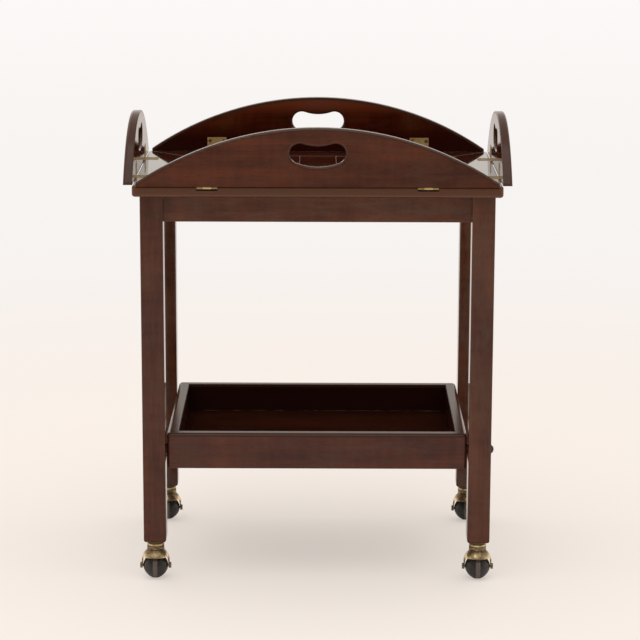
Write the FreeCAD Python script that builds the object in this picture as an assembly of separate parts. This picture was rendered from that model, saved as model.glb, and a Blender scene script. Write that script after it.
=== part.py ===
import FreeCAD
import Part
import math
import os

# Butlers tray table: a lift-off tray with four hinged leaves on a castored stand with a lower tray.
# Millimetres, X to the right, Y to the back, Z up, origin on the floor under the centre.

# Sizes of the lift-off tray
TRAY_WIDTH = 610.0
TRAY_DEPTH = 406.0
TRAY_THICK = 19.0
TRAY_CORNER_ROUND = 6.0
TRAY_LOWER_ROUND = 4.5
TRAY_UPPER_ROUND = 4.0
EDGING_WIDTH = 64.0
CENTRE_BOARD_WIDTH = 64.0
SEAM_WIDTH = 1.4
SEAM_DEPTH = 0.6
TONGUE_LENGTH = 6.0
TONGUE_THICK = 6.0
BATTEN_WIDTH = 18.0
BATTEN_HEIGHT = 18.0
BATTEN_PLAY = 1.5
BATTEN_SCREW_INSET = 41.5
BATTEN_SCREW_RADIUS = 2.0
BATTEN_SCREW_HEAD_RADIUS = 4.0
BATTEN_SCREW_LENGTH = 28.0

# Sizes of the leaves
LEAF_THICK = 15.5
LEAF_HEIGHT = 96.9
LEAF_END_HEIGHT = 4.5
LEAF_END_INSET = 7.0
LONG_LEAF_OVERLAP = 6.0
END_LEAF_OVERLAP = 0.8
LEAF_CLEARANCE = 0.1
LEAF_ROUND = 4.5
LEAF_INNER_ROUND = 1.5
HOLE_HALF_WIDTH = 46.0
HOLE_LOBE_RADIUS = 16.8
HOLE_LOBE_TOP = 71.2
HOLE_DIP_HEIGHT = 66.4
HOLE_BOTTOM_HEIGHT = 32.2
HOLE_ROUND = 4.0

# Sizes of the hinges
PLATE_LENGTH = 34.0
PLATE_WIDTH = 25.0
PLATE_THICK = 1.6
BARREL_RADIUS = 3.0
NOTCH_PLAY = 0.6
NOTCH_DROP = 2.0
KNUCKLE_LENGTH = 14.0
KNUCKLE_PLAY = 0.15
PIN_RADIUS = 1.4
FRONT_HINGE_INSET = 123.5
SIDE_HINGE_INSET = 100.0
PLATE_SCREW_SPACING = 25.0
PLATE_SCREW_SETBACK = 18.5
PLATE_SCREW_RADIUS = 1.5
PLATE_SCREW_HEAD_RADIUS = 3.0
PLATE_SCREW_LENGTH = 12.0
SCREW_SLOT_WIDTH = 0.8
SCREW_SLOT_DEPTH = 0.6

# Sizes of the stand
TRAY_OVERHANG = 12.0
STAND_HEIGHT = 659.5
LEG_SIDE = 38.0
LEG_ROUND = 2.5
LEG_FOOT_ROUND = 6.0
APRON_THICK = 18.0
APRON_HEIGHT = 46.0
APRON_SETBACK = 20.0
APRON_ROUND = 1.5
DOWEL_RADIUS = 4.0
DOWEL_IN_LEG = 18.0
DOWEL_IN_APRON = 22.0
LOW_DOWEL_RISE = 8.0
DOWEL_STEP = 10.0
BLOCK_SIDE = 34.0
BLOCK_HEIGHT = 22.0
BLOCK_RISE = 2.0

# Sizes of the lower tray
SHELF_RIM_HEIGHT = 255.0
SHELF_WALL_HEIGHT = 60.7
SHELF_WALL_THICK = 19.0
SHELF_SETBACK = 6.0
SHELF_GAP = 2.5
SHELF_CORNER_ROUND = 7.0
SHELF_RIM_ROUND = 6.0
SHELF_INNER_ROUND = 1.5
SHELF_FOOT_ROUND = 1.5
SHELF_FLOOR_THICK = 8.0
SHELF_FLOOR_RISE = 4.0
SHELF_TONGUE_THICK = 5.0
SHELF_GROOVE_DEPTH = 7.0
SHELF_TONGUE_PLAY = 1.0
SHELF_FIELD_PLAY = 0.5
BOLT_RISE = 31.7
BOLT_RADIUS = 3.0
BOLT_HEAD_RADIUS = 6.0
BOLT_HEAD_THICK = 4.0
BOLT_IN_SHELF = 30.0
BOLT_WELL_RADIUS = 7.0
BOLT_WELL_DEPTH = 10.0
PLUG_THICK = 5.0
BUTTON_RADIUS = 8.0
BUTTON_PROUD = 5.5
SPACER_RADIUS = 8.0

# Sizes of the casters
CASTER_HEIGHT = 64.5
WHEEL_RADIUS = 21.5
WHEEL_FLAT_INSET = 0.9
WHEEL_HUB_RADIUS = 5.0
WHEEL_BULGE = 2.8
WHEEL_TREAD_WIDTH = 8.0
CASTER_TRAIL = 5.0
HOOD_PLAY = 1.0
HOOD_WALL = 1.3
HOOD_LIFT = 9.0
HOOD_EDGE_RISE = 17.5
EAR_HALF_WIDTH = 8.0
EAR_RADIUS = 5.0
NECK_RADIUS = 14.6
NECK_ROUND = 1.4
NECK_FLARE = 3.5
NECK_RING_HEIGHT = 4.0
NECK_GROOVE_WIDTH = 1.6
NECK_GROOVE_DEPTH = 0.9
AXLE_RADIUS = 2.5
AXLE_HEAD_RADIUS = 5.0
AXLE_HEAD_THICK = 2.6
AXLE_HEAD_ROUND = 1.0
STEM_RADIUS = 4.0
STEM_RISE = 1.0
STEM_IN_LEG = 32.0
SOCKET_WALL = 1.5
SOCKET_IN_LEG = 38.0
FLANGE_RADIUS = 14.2
FLANGE_THICK = 3.5
FLANGE_ROUND = 0.8

# Clearances
FIT_PLAY = 0.05
CUT_MARGIN = 5.0

# Places that follow from the sizes
STAND_X = TRAY_WIDTH / 2 - TRAY_OVERHANG
STAND_Y = TRAY_DEPTH / 2 - TRAY_OVERHANG
LEG_X = STAND_X - LEG_SIDE / 2
LEG_Y = STAND_Y - LEG_SIDE / 2
INNER_X = STAND_X - LEG_SIDE
INNER_Y = STAND_Y - LEG_SIDE
APRON_X = STAND_X - APRON_SETBACK
APRON_Y = STAND_Y - APRON_SETBACK
APRON_FOOT = STAND_HEIGHT - APRON_HEIGHT
TRAY_TOP = STAND_HEIGHT + TRAY_THICK
PANEL_X = TRAY_WIDTH / 2 - EDGING_WIDTH
PANEL_Y = TRAY_DEPTH / 2 - EDGING_WIDTH
AXIS_HEIGHT = TRAY_TOP - BARREL_RADIUS
LEAF_FOOT = TRAY_TOP + LEAF_CLEARANCE
SHELF_X = INNER_X - SHELF_GAP
SHELF_Y = STAND_Y - SHELF_SETBACK
SHELF_FOOT = SHELF_RIM_HEIGHT - SHELF_WALL_HEIGHT
SHELF_FLOOR_FOOT = SHELF_FOOT + SHELF_FLOOR_RISE
BOLT_HEIGHT = SHELF_FOOT + BOLT_RISE
HOOD_INNER_RADIUS = WHEEL_RADIUS + HOOD_PLAY
HOOD_RADIUS = HOOD_INNER_RADIUS + HOOD_WALL
NECK_TOP = CASTER_HEIGHT - FLANGE_THICK
STEM_FOOT = WHEEL_RADIUS + HOOD_LIFT + HOOD_INNER_RADIUS + STEM_RISE

CORNERS = ("front_left", "front_right", "back_left", "back_right")
SIDES = ("front", "right", "back", "left")

X_AXIS = FreeCAD.Vector(1, 0, 0)
Y_AXIS = FreeCAD.Vector(0, 1, 0)
Z_AXIS = FreeCAD.Vector(0, 0, 1)


def point(x, y, z):
    return FreeCAD.Vector(x, y, z)


def block(x0, x1, y0, y1, z0, z1):
    return Part.makeBox(x1 - x0, y1 - y0, z1 - z0, point(x0, y0, z0))


def centred_block(half_x, half_y, z0, z1):
    return block(-half_x, half_x, -half_y, half_y, z0, z1)


def prism(corners, z0, z1):
    outline = Part.makePolygon([point(x, y, z0) for x, y in corners + corners[:1]])
    return Part.Face(outline).extrude(point(0, 0, z1 - z0))


def upright_edges(shape):
    found = []
    for edge in shape.Edges:
        if abs(edge.tangentAt(edge.FirstParameter).z) > math.cos(math.radians(1)):
            found.append(edge)
    return found


def edges_at_height(shape, height):
    found = []
    for edge in shape.Edges:
        box = edge.BoundBox
        if abs(box.ZMin - height) < FIT_PLAY and abs(box.ZMax - height) < FIT_PLAY:
            found.append(edge)
    return found


# Pieces are drawn for the front and turned by quarters to the other sides.
def turned(shape, side):
    copy = shape.copy()
    copy.rotate(point(0, 0, 0), Z_AXIS, 90 * SIDES.index(side))
    return copy


def signs(corner):
    return (-1 if corner.endswith("left") else 1), (-1 if corner.startswith("front") else 1)


def save(name, shapes):
    shape = shapes[0] if len(shapes) == 1 else Part.makeCompound(shapes)
    shape.exportStep("parts/" + name + ".step")


# A countersunk screw along +Z with its head at the origin, pointing down; play widens it into its hole.
def screw(radius, head_radius, length, play):
    wide = head_radius + play
    thin = radius + play
    cone = Part.makeCone(wide, thin, head_radius - radius, point(0, 0, 0), -Z_AXIS)
    shank = Part.makeCylinder(thin, length, point(0, 0, 0), -Z_AXIS)
    return cone.fuse(shank).removeSplitter()


def slotted(shape):
    reach = PLATE_SCREW_HEAD_RADIUS + BATTEN_SCREW_HEAD_RADIUS
    return shape.cut(centred_block(reach, SCREW_SLOT_WIDTH / 2, -SCREW_SLOT_DEPTH, CUT_MARGIN))


def plate_screw(play):
    return screw(PLATE_SCREW_RADIUS, PLATE_SCREW_HEAD_RADIUS, PLATE_SCREW_LENGTH, play)


def batten_screw(play):
    return screw(BATTEN_SCREW_RADIUS, BATTEN_SCREW_HEAD_RADIUS, BATTEN_SCREW_LENGTH, play)


# A mitred frame seen from above is four trapeziums that meet on the corner diagonals.
def mitre_quarter(half_x, half_y, width, z0, z1, side):
    reach_x = half_x if side in ("front", "back") else half_y
    reach_y = half_y if side in ("front", "back") else half_x
    out = CUT_MARGIN
    deep = width + CUT_MARGIN
    corners = [
        (-reach_x - out, -reach_y - out),
        (reach_x + out, -reach_y - out),
        (reach_x - deep, -reach_y + deep),
        (-reach_x + deep, -reach_y + deep),
    ]
    return turned(prism(corners, z0 - out, z1 + out), side)


def half_span(side):
    return TRAY_WIDTH / 2 if side in ("front", "back") else TRAY_DEPTH / 2


def edge_distance(side):
    return TRAY_DEPTH / 2 if side in ("front", "back") else TRAY_WIDTH / 2


def hinge_places(side):
    inset = FRONT_HINGE_INSET if side in ("front", "back") else SIDE_HINGE_INSET
    return [inset - half_span(side), half_span(side) - inset]


# Dowels: the end aprons carry theirs one step above those of the front and back aprons.
def dowel_heights(side):
    low = APRON_FOOT + LOW_DOWEL_RISE
    if side in ("left", "right"):
        low = low + DOWEL_STEP
    return [low, low + DOWEL_STEP + DOWEL_STEP]


def apron_dowels(play):
    found = []
    length = DOWEL_IN_LEG + DOWEL_IN_APRON
    for side in SIDES:
        end = INNER_X if side in ("front", "back") else INNER_Y
        line = APRON_Y if side in ("front", "back") else APRON_X
        for height in dowel_heights(side):
            for sign in (-1, 1):
                start = point(sign * (end - DOWEL_IN_APRON), APRON_THICK / 2 - line, height)
                pin = Part.makeCylinder(DOWEL_RADIUS + play, length, start, X_AXIS * sign)
                found.append(turned(pin, side))
    return found


# A leg: rounded arrises, and a foot that is rounded more, crossed from one bar each way.
def leg_bar(direction):
    bar = centred_block(LEG_SIDE / 2, LEG_SIDE / 2, CASTER_HEIGHT, STAND_HEIGHT)
    low = []
    for edge in edges_at_height(bar, CASTER_HEIGHT):
        if abs(edge.tangentAt(edge.FirstParameter).dot(direction)) > math.cos(math.radians(1)):
            low.append(edge)
    return bar.makeFillet(LEG_FOOT_ROUND, low)


def leg(sign_x, sign_y, dowel_holes):
    shape = centred_block(LEG_SIDE / 2, LEG_SIDE / 2, CASTER_HEIGHT, STAND_HEIGHT)
    shape = shape.makeFillet(LEG_ROUND, upright_edges(shape))
    shape = shape.common(leg_bar(X_AXIS)).common(leg_bar(Y_AXIS))
    shape.translate(point(sign_x * LEG_X, sign_y * LEG_Y, 0))
    foot = point(sign_x * LEG_X, sign_y * LEG_Y, CASTER_HEIGHT)
    socket_radius = STEM_RADIUS + FIT_PLAY + SOCKET_WALL + FIT_PLAY
    shape = shape.cut(Part.makeCylinder(socket_radius, SOCKET_IN_LEG, foot, Z_AXIS))
    face = point(sign_x * STAND_X, sign_y * LEG_Y, BOLT_HEIGHT)
    inward = X_AXIS * -sign_x
    shape = shape.cut(Part.makeCylinder(BOLT_WELL_RADIUS, BOLT_WELL_DEPTH, face, inward))
    shape = shape.cut(Part.makeCylinder(BOLT_RADIUS + FIT_PLAY, LEG_SIDE, face, inward))
    return shape.cut(Part.makeCompound(dowel_holes))


def apron(side, dowel_holes):
    end = INNER_X if side in ("front", "back") else INNER_Y
    line = APRON_Y if side in ("front", "back") else APRON_X
    shape = block(-end, end, -line, APRON_THICK - line, APRON_FOOT, STAND_HEIGHT)
    low = []
    for edge in edges_at_height(shape, APRON_FOOT):
        if edge.BoundBox.XLength > APRON_THICK:
            low.append(edge)
    shape = shape.makeFillet(APRON_ROUND, low)
    return turned(shape, side).cut(Part.makeCompound(dowel_holes))


def corner_block(sign_x, sign_y):
    corners = [
        (sign_x * INNER_X, sign_y * INNER_Y),
        (sign_x * (INNER_X - BLOCK_SIDE), sign_y * INNER_Y),
        (sign_x * INNER_X, sign_y * (INNER_Y - BLOCK_SIDE)),
    ]
    low = APRON_FOOT + BLOCK_RISE
    return prism(corners, low, low + BLOCK_HEIGHT)


# Bolts run sideways through the legs into the corners of the lower tray.
def shelf_bolt(sign_x, sign_y):
    inward = X_AXIS * -sign_x
    start = STAND_X - BOLT_WELL_DEPTH
    length = LEG_SIDE - BOLT_WELL_DEPTH + SHELF_GAP + BOLT_IN_SHELF
    seat = point(sign_x * start, sign_y * LEG_Y, BOLT_HEIGHT)
    shank = Part.makeCylinder(BOLT_RADIUS, length, seat, inward)
    head = Part.makeCylinder(BOLT_HEAD_RADIUS, BOLT_HEAD_THICK, seat, inward * -1)
    return shank.fuse(head)


def shelf_spacer(sign_x, sign_y):
    start = point(sign_x * INNER_X, sign_y * LEG_Y, BOLT_HEIGHT)
    ring = Part.makeCylinder(SPACER_RADIUS, SHELF_GAP, start, X_AXIS * -sign_x)
    return ring.cut(Part.makeCylinder(BOLT_RADIUS + FIT_PLAY, SHELF_GAP, start, X_AXIS * -sign_x))


def bolt_plug(sign_x, sign_y):
    start = point(sign_x * STAND_X, sign_y * LEG_Y, BOLT_HEIGHT)
    return Part.makeCylinder(BOLT_WELL_RADIUS - FIT_PLAY, PLUG_THICK, start, X_AXIS * -sign_x)


def bolt_button(sign_x, sign_y):
    ball_radius = (BUTTON_RADIUS ** 2 + BUTTON_PROUD ** 2) / (2 * BUTTON_PROUD)
    ball_x = sign_x * (STAND_X + BUTTON_PROUD - ball_radius)
    start = point(sign_x * STAND_X, sign_y * LEG_Y, BOLT_HEIGHT)
    ball = Part.makeSphere(ball_radius, point(ball_x, sign_y * LEG_Y, BOLT_HEIGHT))
    outside = Part.makeCylinder(BUTTON_RADIUS + CUT_MARGIN, ball_radius, start, X_AXIS * sign_x)
    return ball.common(outside).fuse(bolt_plug(sign_x, sign_y)).removeSplitter()


def shelf_frame():
    shape = centred_block(SHELF_X, SHELF_Y, SHELF_FOOT, SHELF_RIM_HEIGHT)
    shape = shape.makeFillet(SHELF_CORNER_ROUND, upright_edges(shape))
    shape = shape.makeFillet(SHELF_RIM_ROUND, edges_at_height(shape, SHELF_RIM_HEIGHT))
    shape = shape.makeFillet(SHELF_FOOT_ROUND, edges_at_height(shape, SHELF_FOOT))
    inner_x = SHELF_X - SHELF_WALL_THICK
    inner_y = SHELF_Y - SHELF_WALL_THICK
    low = SHELF_FOOT - CUT_MARGIN
    shape = shape.cut(centred_block(inner_x, inner_y, low, SHELF_RIM_HEIGHT + CUT_MARGIN))
    inner = []
    for edge in edges_at_height(shape, SHELF_RIM_HEIGHT):
        middle = edge.CenterOfMass
        if abs(middle.x) < inner_x + FIT_PLAY and abs(middle.y) < inner_y + FIT_PLAY:
            inner.append(edge)
    shape = shape.makeFillet(SHELF_INNER_ROUND, inner)
    groove_x = inner_x + SHELF_GROOVE_DEPTH
    groove_y = inner_y + SHELF_GROOVE_DEPTH
    groove_top = SHELF_FLOOR_FOOT + SHELF_TONGUE_THICK
    shape = shape.cut(centred_block(groove_x, groove_y, SHELF_FLOOR_FOOT, groove_top))
    for corner in CORNERS:
        sign_x, sign_y = signs(corner)
        start = point(sign_x * SHELF_X, sign_y * LEG_Y, BOLT_HEIGHT)
        shape = shape.cut(Part.makeCylinder(BOLT_RADIUS + FIT_PLAY, BOLT_IN_SHELF, start, X_AXIS * -sign_x))
    return shape


def shelf_wall(frame, side):
    quarter = mitre_quarter(SHELF_X, SHELF_Y, SHELF_WALL_THICK, SHELF_FOOT, SHELF_RIM_HEIGHT, side)
    return frame.common(quarter)


# The floor of the lower tray: a tongue all round in the walls' groove, and a field that rises between them.
def shelf_floor():
    inner_x = SHELF_X - SHELF_WALL_THICK
    inner_y = SHELF_Y - SHELF_WALL_THICK
    reach = SHELF_GROOVE_DEPTH - SHELF_TONGUE_PLAY
    tongue_top = SHELF_FLOOR_FOOT + SHELF_TONGUE_THICK
    shape = centred_block(inner_x + reach, inner_y + reach, SHELF_FLOOR_FOOT, tongue_top)
    field_x = inner_x - SHELF_FIELD_PLAY
    field_y = inner_y - SHELF_FIELD_PLAY
    top = SHELF_FLOOR_FOOT + SHELF_FLOOR_THICK
    return shape.fuse(centred_block(field_x, field_y, SHELF_FLOOR_FOOT, top)).removeSplitter()


# Casters
def caster_socket(sign_x, sign_y):
    foot = point(sign_x * LEG_X, sign_y * LEG_Y, CASTER_HEIGHT)
    bore = STEM_RADIUS + FIT_PLAY
    tube = Part.makeCylinder(bore + SOCKET_WALL, SOCKET_IN_LEG, foot, Z_AXIS)
    flange = Part.makeCylinder(FLANGE_RADIUS, FLANGE_THICK, foot, -Z_AXIS)
    flange = flange.makeFillet(FLANGE_ROUND, edges_at_height(flange, NECK_TOP))
    start = point(sign_x * LEG_X, sign_y * LEG_Y, NECK_TOP)
    hollow = Part.makeCylinder(bore, FLANGE_THICK + STEM_IN_LEG, start, Z_AXIS)
    return tube.fuse(flange).removeSplitter().cut(hollow)


def caster_stem(sign_x, sign_y):
    start = point(sign_x * LEG_X, sign_y * LEG_Y, STEM_FOOT)
    return Part.makeCylinder(STEM_RADIUS, CASTER_HEIGHT + STEM_IN_LEG - STEM_FOOT, start, Z_AXIS)


# The side view of the hood: everything above its front edge, and an ear that narrows to the axle.
def hood_outline(axle):
    edge = axle.z + HOOD_EDGE_RISE
    reach = HOOD_RADIUS + NECK_RADIUS + CUT_MARGIN
    left = axle.x - reach
    upper = block(left, axle.x + reach, axle.y - reach, axle.y + reach, edge, CASTER_HEIGHT)
    corners = [
        point(left, axle.y - EAR_HALF_WIDTH, edge),
        point(left, axle.y + EAR_HALF_WIDTH, edge),
        point(left, axle.y + EAR_RADIUS, axle.z),
        point(left, axle.y - EAR_RADIUS, axle.z),
    ]
    ear = Part.Face(Part.makePolygon(corners + corners[:1])).extrude(X_AXIS * (reach + reach))
    tip = Part.makeCylinder(EAR_RADIUS, reach + reach, point(left, axle.y, axle.z), X_AXIS)
    return upper.fuse([ear, tip])


# The dome of the hood: a ball set above the axle, and an upright skirt below it.
def hood_dome(axle, radius):
    middle = axle + Z_AXIS * HOOD_LIFT
    low = EAR_RADIUS + CUT_MARGIN
    skirt = Part.makeCylinder(radius, HOOD_LIFT + low, axle - Z_AXIS * low, Z_AXIS)
    return Part.makeSphere(radius, middle).fuse(skirt).removeSplitter()


# The neck: a ring above a groove, on a post that flares out into the dome.
def hood_neck(swivel):
    shape = Part.makeCylinder(NECK_RADIUS, NECK_TOP - WHEEL_RADIUS, swivel, Z_AXIS)
    shape = shape.makeFillet(NECK_ROUND, edges_at_height(shape, NECK_TOP))
    foot = point(swivel.x, swivel.y, NECK_TOP - NECK_RING_HEIGHT - NECK_GROOVE_WIDTH)
    groove = Part.makeCylinder(NECK_RADIUS + CUT_MARGIN, NECK_GROOVE_WIDTH, foot, Z_AXIS)
    core = Part.makeCylinder(NECK_RADIUS - NECK_GROOVE_DEPTH, NECK_GROOVE_WIDTH, foot, Z_AXIS)
    return shape.cut(groove.cut(core))


def caster_hood(sign_x, sign_y):
    axle = point(sign_x * LEG_X, sign_y * LEG_Y - CASTER_TRAIL, WHEEL_RADIUS)
    swivel = point(sign_x * LEG_X, sign_y * LEG_Y, WHEEL_RADIUS)
    shape = hood_dome(axle, HOOD_RADIUS).fuse(hood_neck(swivel)).removeSplitter()
    groove_foot = NECK_TOP - NECK_RING_HEIGHT - NECK_GROOVE_WIDTH
    meeting = []
    for edge in shape.Edges:
        box = edge.BoundBox
        round_neck = box.XLength > NECK_RADIUS
        if round_neck and box.ZMin > axle.z + HOOD_LIFT + FIT_PLAY and box.ZMax < groove_foot - FIT_PLAY:
            meeting.append(edge)
    shape = shape.makeFillet(NECK_FLARE, meeting)
    shape = shape.common(hood_outline(axle))
    shape = shape.cut(hood_dome(axle, HOOD_INNER_RADIUS))
    bore_foot = point(swivel.x, swivel.y, STEM_FOOT)
    shape = shape.cut(Part.makeCylinder(STEM_RADIUS + FIT_PLAY, NECK_TOP - STEM_FOOT, bore_foot, Z_AXIS))
    start = point(axle.x - HOOD_RADIUS, axle.y, axle.z)
    return shape.cut(Part.makeCylinder(AXLE_RADIUS + FIT_PLAY, HOOD_RADIUS + HOOD_RADIUS, start, X_AXIS))


def caster_axle(sign_x, sign_y):
    start = point(sign_x * LEG_X - HOOD_RADIUS, sign_y * LEG_Y - CASTER_TRAIL, WHEEL_RADIUS)
    length = HOOD_RADIUS + HOOD_RADIUS
    shape = Part.makeCylinder(AXLE_RADIUS, length, start, X_AXIS)
    for direction, place in ((-1, start), (1, start + X_AXIS * length)):
        head = Part.makeCylinder(AXLE_HEAD_RADIUS, AXLE_HEAD_THICK, place, X_AXIS * direction)
        rim = []
        for edge in head.Edges:
            far = abs(edge.CenterOfMass.x - place.x) > AXLE_HEAD_THICK - FIT_PLAY
            if far and edge.Closed:
                rim.append(edge)
        shape = shape.fuse(head.makeFillet(AXLE_HEAD_ROUND, rim))
    return shape.removeSplitter()


# The ball wheel is turned about the axle: a narrow flat tread, and flanks that bulge in to small flat hubs.
def caster_wheel(sign_x, sign_y):
    middle = point(sign_x * LEG_X, sign_y * LEG_Y - CASTER_TRAIL, WHEEL_RADIUS)
    half = WHEEL_RADIUS - WHEEL_FLAT_INSET
    tread = WHEEL_TREAD_WIDTH / 2
    bore = AXLE_RADIUS + FIT_PLAY
    hub = WHEEL_HUB_RADIUS
    run = half - tread
    fall = WHEEL_RADIUS - hub
    slant = math.hypot(run, fall)
    bend_along = (half + tread) / 2 + WHEEL_BULGE * fall / slant
    bend_out = (WHEEL_RADIUS + hub) / 2 + WHEEL_BULGE * run / slant

    def spot(along, out):
        return middle + point(along, 0, out)

    edges = [
        Part.makeLine(spot(-half, bore), spot(-half, hub)),
        Part.Arc(spot(-half, hub), spot(-bend_along, bend_out), spot(-tread, WHEEL_RADIUS)).toShape(),
        Part.makeLine(spot(-tread, WHEEL_RADIUS), spot(tread, WHEEL_RADIUS)),
        Part.Arc(spot(tread, WHEEL_RADIUS), spot(bend_along, bend_out), spot(half, hub)).toShape(),
        Part.makeLine(spot(half, hub), spot(half, bore)),
        Part.makeLine(spot(half, bore), spot(-half, bore)),
    ]
    return Part.Face(Part.Wire(edges)).revolve(middle, X_AXIS, 360)


# Hinges, drawn for the front edge: the inner face of the leaf, and the barrel's line outside it.
def leaf_plane(side):
    overlap = LONG_LEAF_OVERLAP if side in ("front", "back") else END_LEAF_OVERLAP
    return overlap - edge_distance(side)


def hinge_line(side):
    return leaf_plane(side) - BARREL_RADIUS


def plate_screws(side, shape, seat):
    found = []
    for place in hinge_places(side):
        for sign in (-1, 1):
            copy = shape.copy()
            copy.translate(seat + X_AXIS * (place + sign * PLATE_SCREW_SPACING / 2))
            found.append(turned(copy, side))
    return found


def tray_plate_screws(side, shape):
    return plate_screws(side, shape, point(0, PLATE_SCREW_SETBACK - edge_distance(side), TRAY_TOP))


def leaf_plate_screws(side, shape):
    lying = shape.copy()
    lying.rotate(point(0, 0, 0), X_AXIS, -90)
    return plate_screws(side, lying, point(0, leaf_plane(side), LEAF_FOOT + PLATE_SCREW_SETBACK))


# The tray is cut for each hinge: a shallow bed for the plate and a notch at the edge for the barrel.
def tray_plate_beds(side):
    found = []
    half = PLATE_LENGTH / 2
    edge = edge_distance(side)
    front = leaf_plane(side) + NOTCH_PLAY
    notch_foot = AXIS_HEIGHT - BARREL_RADIUS - NOTCH_DROP
    for place in hinge_places(side):
        bed = block(place - half, place + half, front, PLATE_WIDTH - edge, TRAY_TOP - PLATE_THICK, TRAY_TOP)
        start_x = place - half - NOTCH_PLAY
        end_x = place + half + NOTCH_PLAY
        notch = block(start_x, end_x, -edge - CUT_MARGIN, front, notch_foot, TRAY_TOP + CUT_MARGIN)
        found.append(turned(bed.fuse(notch), side))
    return found


def knuckle(start_x, end_x, line):
    start = point(start_x, line, AXIS_HEIGHT)
    return Part.makeCylinder(BARREL_RADIUS, end_x - start_x, start, X_AXIS)


def tray_plates(side):
    found = []
    line = hinge_line(side)
    front = leaf_plane(side) + NOTCH_PLAY
    back = PLATE_WIDTH - edge_distance(side)
    gap = KNUCKLE_LENGTH / 2 + KNUCKLE_PLAY
    half = PLATE_LENGTH / 2
    low = TRAY_TOP - PLATE_THICK
    holes = tray_plate_screws(side, plate_screw(FIT_PLAY))
    for place in hinge_places(side):
        shape = block(place - half, place + half, front, back, low, TRAY_TOP)
        for start_x, end_x in ((place - half, place - gap), (place + gap, place + half)):
            shape = shape.fuse(block(start_x, end_x, line, front, low, TRAY_TOP))
            shape = shape.fuse(knuckle(start_x, end_x, line))
        pin_start = point(place - half, line, AXIS_HEIGHT)
        shape = shape.cut(Part.makeCylinder(PIN_RADIUS, PLATE_LENGTH, pin_start, X_AXIS))
        shape = turned(shape.removeSplitter(), side)
        found.append(shape.cut(Part.makeCompound(holes)))
    return found


def hinge_pins(side):
    found = []
    for place in hinge_places(side):
        start = point(place - PLATE_LENGTH / 2, hinge_line(side), AXIS_HEIGHT)
        found.append(turned(Part.makeCylinder(PIN_RADIUS, PLATE_LENGTH, start, X_AXIS), side))
    return found


def leaf_plates(side):
    found = []
    line = hinge_line(side)
    inner = leaf_plane(side)
    deep = inner - PLATE_THICK
    half = PLATE_LENGTH / 2
    mid = KNUCKLE_LENGTH / 2
    holes = leaf_plate_screws(side, plate_screw(FIT_PLAY))
    for place in hinge_places(side):
        shape = block(place - half, place + half, deep, inner, LEAF_FOOT, LEAF_FOOT + PLATE_WIDTH)
        shape = shape.fuse(block(place - mid, place + mid, deep, inner, AXIS_HEIGHT, LEAF_FOOT))
        shape = shape.fuse(knuckle(place - mid, place + mid, line))
        pin_start = point(place - half, line, AXIS_HEIGHT)
        shape = shape.cut(Part.makeCylinder(PIN_RADIUS + FIT_PLAY, PLATE_LENGTH, pin_start, X_AXIS))
        shape = turned(shape.removeSplitter(), side)
        found.append(shape.cut(Part.makeCompound(holes)))
    return found


# The hand hole is a kidney of four tangent arcs: two lobes, a dip above and a long curve below.
def hand_hole(line):
    lobe_x = HOLE_HALF_WIDTH - HOLE_LOBE_RADIUS
    lobe_z = HOLE_LOBE_TOP - HOLE_LOBE_RADIUS
    dip = HOLE_DIP_HEIGHT - lobe_z
    sag = lobe_z - HOLE_BOTTOM_HEIGHT
    dip_radius = (lobe_x ** 2 + dip ** 2 - HOLE_LOBE_RADIUS ** 2) / (2 * (HOLE_LOBE_RADIUS - dip))
    sag_radius = (lobe_x ** 2 + sag ** 2 - HOLE_LOBE_RADIUS ** 2) / (2 * (sag - HOLE_LOBE_RADIUS))
    dip_centre = HOLE_DIP_HEIGHT + dip_radius
    sag_centre = HOLE_BOTTOM_HEIGHT + sag_radius
    over_share = dip_radius / (dip_radius + HOLE_LOBE_RADIUS)
    under_share = sag_radius / (sag_radius - HOLE_LOBE_RADIUS)
    over_x = lobe_x * over_share
    over_z = dip_centre + (lobe_z - dip_centre) * over_share
    under_x = lobe_x * under_share
    under_z = sag_centre + (lobe_z - sag_centre) * under_share

    def spot(x, z):
        return point(x, line, LEAF_FOOT + z)

    arcs = [
        Part.Arc(spot(-over_x, over_z), spot(0, HOLE_DIP_HEIGHT), spot(over_x, over_z)),
        Part.Arc(spot(over_x, over_z), spot(HOLE_HALF_WIDTH, lobe_z), spot(under_x, under_z)),
        Part.Arc(spot(under_x, under_z), spot(0, HOLE_BOTTOM_HEIGHT), spot(-under_x, under_z)),
        Part.Arc(spot(-under_x, under_z), spot(-HOLE_HALF_WIDTH, lobe_z), spot(-over_x, over_z)),
    ]
    wire = Part.Wire([arc.toShape() for arc in arcs])
    return Part.Face(wire).extrude(point(0, LEAF_THICK, 0))


def rim_edges(disc, line):
    return [edge for edge in disc.Edges if edge.Closed and abs(edge.CenterOfMass.y - line) < FIT_PLAY]


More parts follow.
